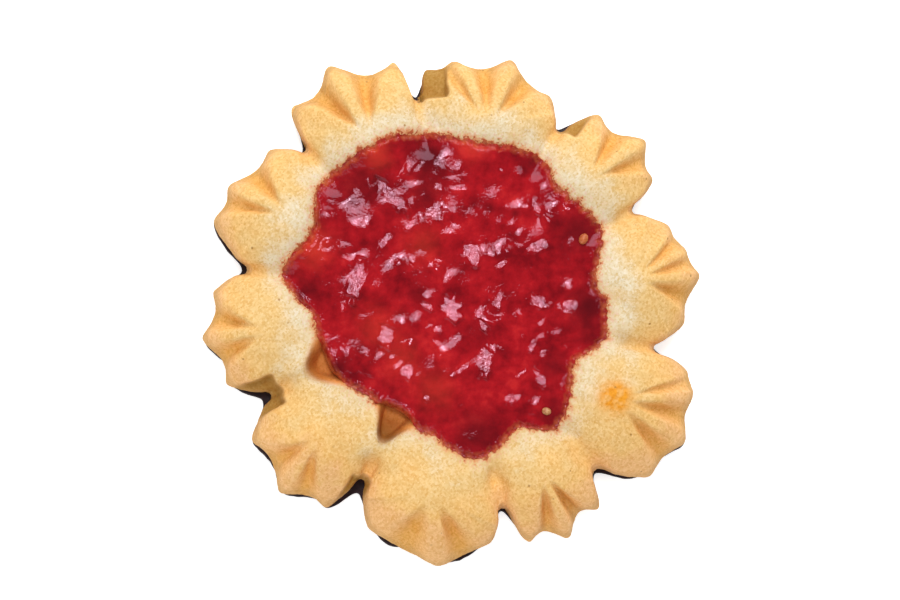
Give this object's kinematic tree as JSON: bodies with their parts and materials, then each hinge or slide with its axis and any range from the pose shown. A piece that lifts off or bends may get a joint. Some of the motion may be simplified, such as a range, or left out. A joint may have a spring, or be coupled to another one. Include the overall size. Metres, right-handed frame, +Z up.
{
  "type": "jam cookie",
  "caption": "Round piped biscuit: a ring of ridged rosettes around a shallow dish of lumpy red jam, on a thin dark chocolate base.",
  "frame": {"origin": "centre of the bounding box on the flat underside of the chocolate base", "axes": "+Z up out of the jam, +X to the right and +Y to the top of the picture"},
  "size_m": [0.0698, 0.071, 0.0111],
  "materials": {
    "biscuit": "pale cream ring and golden baked ridges, fine sandy grain, matte",
    "jam": "glossy deep red, lumpy, with seeds",
    "chocolate": "dark brown-black, satin"
  },
  "bodies": {
    "root": {"biscuit": "biscuit", "jam": "jam", "chocolate_base": "chocolate"}
  },
  "joints": []
}
